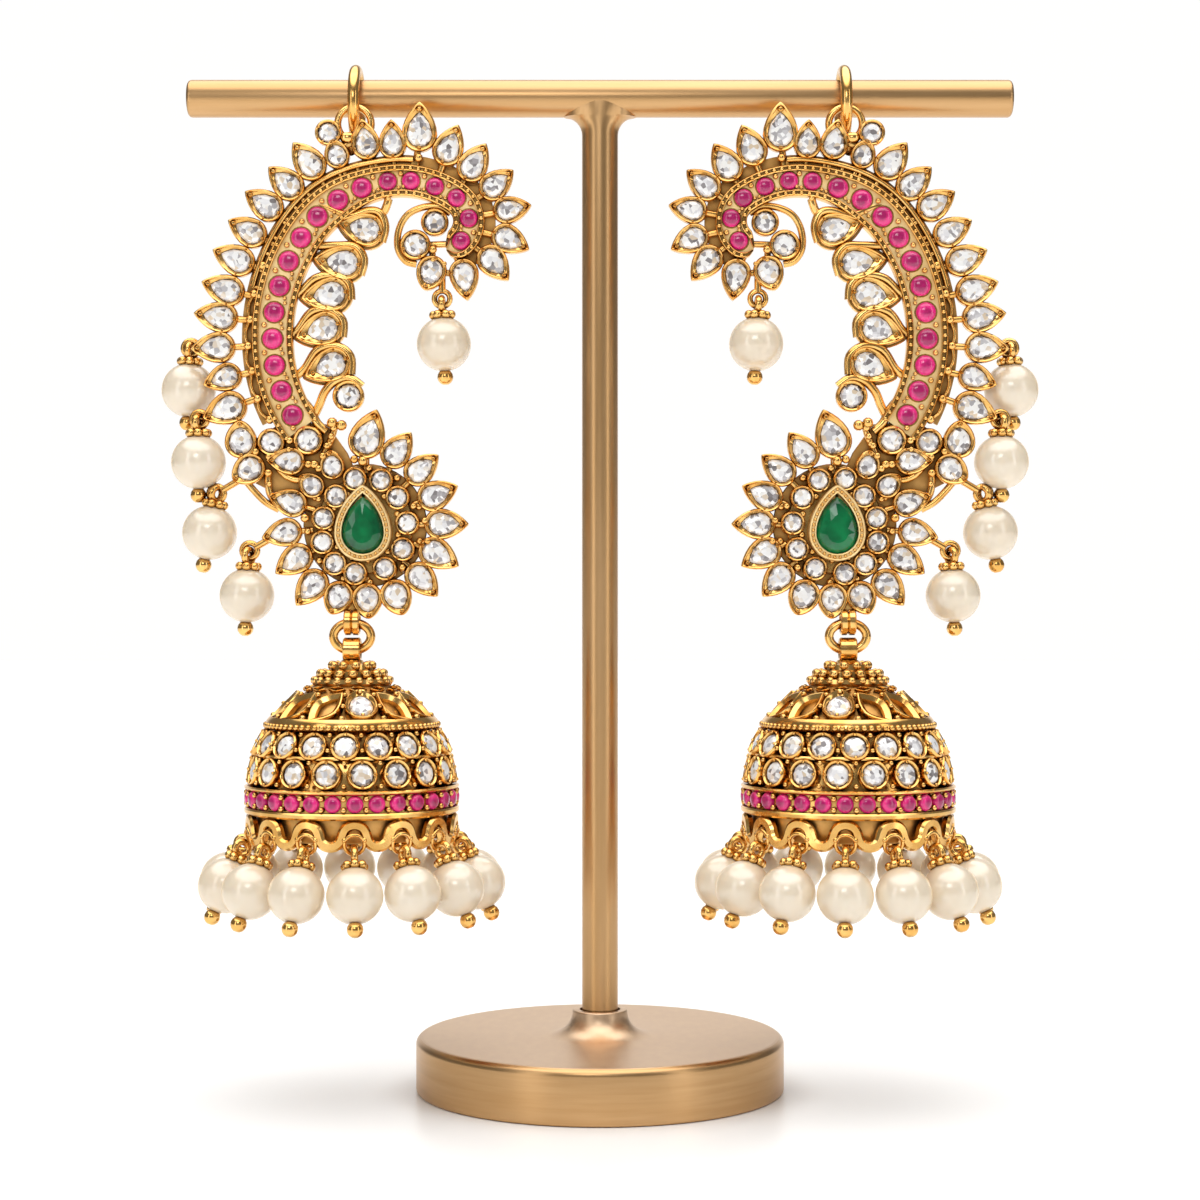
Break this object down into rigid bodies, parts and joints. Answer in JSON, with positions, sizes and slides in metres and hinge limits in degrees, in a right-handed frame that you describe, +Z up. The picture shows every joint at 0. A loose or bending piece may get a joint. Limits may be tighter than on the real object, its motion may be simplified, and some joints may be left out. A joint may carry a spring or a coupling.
{
  "type": "pair of jhumka earrings on a t-bar stand",
  "caption": "Mirrored pair of curved jhumka earrings with stone collets, pearl drops and free-hanging bells, on a plain round-based T-bar stand.",
  "frame": {"origin": "centre of the base's bottom face, on the table", "axes": "+Z up along the post, +X along the bar, -Y is the front of the earrings"},
  "size_m": [0.1042, 0.045, 0.1225],
  "materials": {
    "stand_metal": "satin brushed champagne gold",
    "gold": "polished yellow gold plate, with clear cut stones in the collets",
    "ruby": "polished cabochon stones",
    "emerald": "polished cut stone",
    "pearl": "lustrous pearl with a gold cap and end ball"
  },
  "bodies": {
    "stand": {"stand_base": "stand_metal", "stand_tee": "stand_metal", "left_hanging_ring": "gold", "left_frame": "gold", "left_ruby_row": "ruby", "left_emerald": "emerald", "left_ear_post": "gold", "left_side_pearl_1": "pearl", "left_side_pearl_2": "pearl", "left_side_pearl_3": "pearl", "left_side_pearl_4": "pearl", "left_curl_pearl": "pearl", "right_hanging_ring": "gold", "right_frame": "gold", "right_ruby_row": "ruby", "right_emerald": "emerald", "right_ear_post": "gold", "right_side_pearl_1": "pearl", "right_side_pearl_2": "pearl", "right_side_pearl_3": "pearl", "right_side_pearl_4": "pearl", "right_curl_pearl": "pearl"},
    "left_ring": {"left_connector_ring": "gold"},
    "left_drop": {"left_bell": "gold", "left_bell_pearl_01": "pearl", "left_bell_pearl_02": "pearl", "left_bell_pearl_03": "pearl", "left_bell_pearl_04": "pearl", "left_bell_pearl_05": "pearl", "left_bell_pearl_06": "pearl", "left_bell_pearl_07": "pearl", "left_bell_pearl_08": "pearl", "left_bell_pearl_09": "pearl", "left_bell_pearl_10": "pearl", "left_bell_pearl_11": "pearl", "left_bell_pearl_12": "pearl", "left_bell_pearl_13": "pearl", "left_bell_pearl_14": "pearl"},
    "right_ring": {"right_connector_ring": "gold"},
    "right_drop": {"right_bell": "gold", "right_bell_pearl_01": "pearl", "right_bell_pearl_02": "pearl", "right_bell_pearl_03": "pearl", "right_bell_pearl_04": "pearl", "right_bell_pearl_05": "pearl", "right_bell_pearl_06": "pearl", "right_bell_pearl_07": "pearl", "right_bell_pearl_08": "pearl", "right_bell_pearl_09": "pearl", "right_bell_pearl_10": "pearl", "right_bell_pearl_11": "pearl", "right_bell_pearl_12": "pearl", "right_bell_pearl_13": "pearl", "right_bell_pearl_14": "pearl"}
  },
  "joints": [
    {"name": "left_ring_swing", "type": "hinge", "parent": "stand", "child": "left_ring", "pos_m": [-0.0292, -0.0052, 0.0559], "axis": [0, 1, 0], "range_deg": [-10, 10]},
    {"name": "left_bell_swing", "type": "hinge", "parent": "left_ring", "child": "left_drop", "pos_m": [-0.0292, -0.0052, 0.0527], "axis": [1, 0, 0], "range_deg": [-35, 35]},
    {"name": "right_ring_swing", "type": "hinge", "parent": "stand", "child": "right_ring", "pos_m": [0.0292, -0.0052, 0.0559], "axis": [0, 1, 0], "range_deg": [-10, 10]},
    {"name": "right_bell_swing", "type": "hinge", "parent": "right_ring", "child": "right_drop", "pos_m": [0.0292, -0.0052, 0.0527], "axis": [1, 0, 0], "range_deg": [-35, 35]}
  ]
}
